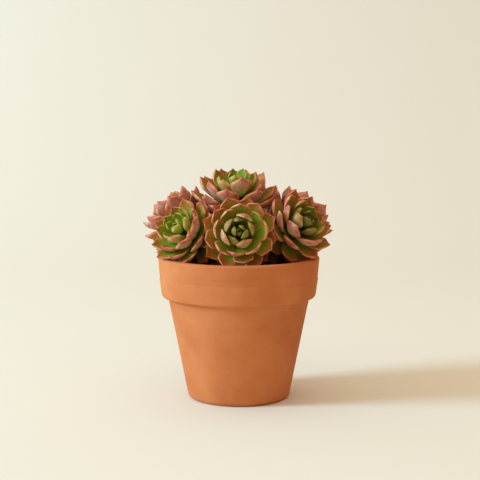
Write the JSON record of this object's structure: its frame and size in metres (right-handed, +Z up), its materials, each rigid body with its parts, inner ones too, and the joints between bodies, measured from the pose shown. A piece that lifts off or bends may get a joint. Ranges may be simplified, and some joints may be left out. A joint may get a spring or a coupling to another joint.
{
  "type": "potted succulent",
  "caption": "Round terracotta flower pot with a rim band and a drain hole, planted with a dome of fleshy succulent rosettes on short stems.",
  "frame": {"origin": "on the pot's axis, at the surface that the pot stands on", "axes": "+Z up along the pot's axis; -Y is the front, where one rosette faces out level; +X is to the right as seen from the front"},
  "size_m": [0.1313, 0.1113, 0.1565],
  "materials": {
    "terracotta": "matte",
    "potting_soil": "matte",
    "stem_bark": "matte",
    "leaf": "satin",
    "young_leaf": "satin"
  },
  "bodies": {
    "root": {"pot": "terracotta", "soil": "potting_soil", "front_stem": "stem_bark", "front_heart": "young_leaf", "front_inner_leaves": "leaf", "front_middle_leaves": "leaf", "front_outer_leaves": "leaf", "front_lower_leaves": "leaf", "right_stem": "stem_bark", "right_heart": "young_leaf", "right_inner_leaves": "leaf", "right_middle_leaves": "leaf", "right_outer_leaves": "leaf", "right_lower_leaves": "leaf", "left_stem": "stem_bark", "left_heart": "young_leaf", "left_inner_leaves": "leaf", "left_middle_leaves": "leaf", "left_outer_leaves": "leaf", "left_lower_leaves": "leaf", "top_stem": "stem_bark", "top_heart": "young_leaf", "top_inner_leaves": "leaf", "top_middle_leaves": "leaf", "top_outer_leaves": "leaf", "top_lower_leaves": "leaf", "rear_left_stem": "stem_bark", "rear_left_heart": "young_leaf", "rear_left_inner_leaves": "leaf", "rear_left_middle_leaves": "leaf", "rear_left_outer_leaves": "leaf", "rear_left_lower_leaves": "leaf", "rear_right_stem": "stem_bark", "rear_right_heart": "young_leaf", "rear_right_inner_leaves": "leaf", "rear_right_middle_leaves": "leaf", "rear_right_outer_leaves": "leaf", "rear_right_lower_leaves": "leaf", "back_stem": "stem_bark", "back_heart": "young_leaf", "back_inner_leaves": "leaf", "back_middle_leaves": "leaf", "back_outer_leaves": "leaf", "back_lower_leaves": "leaf"}
  },
  "joints": []
}
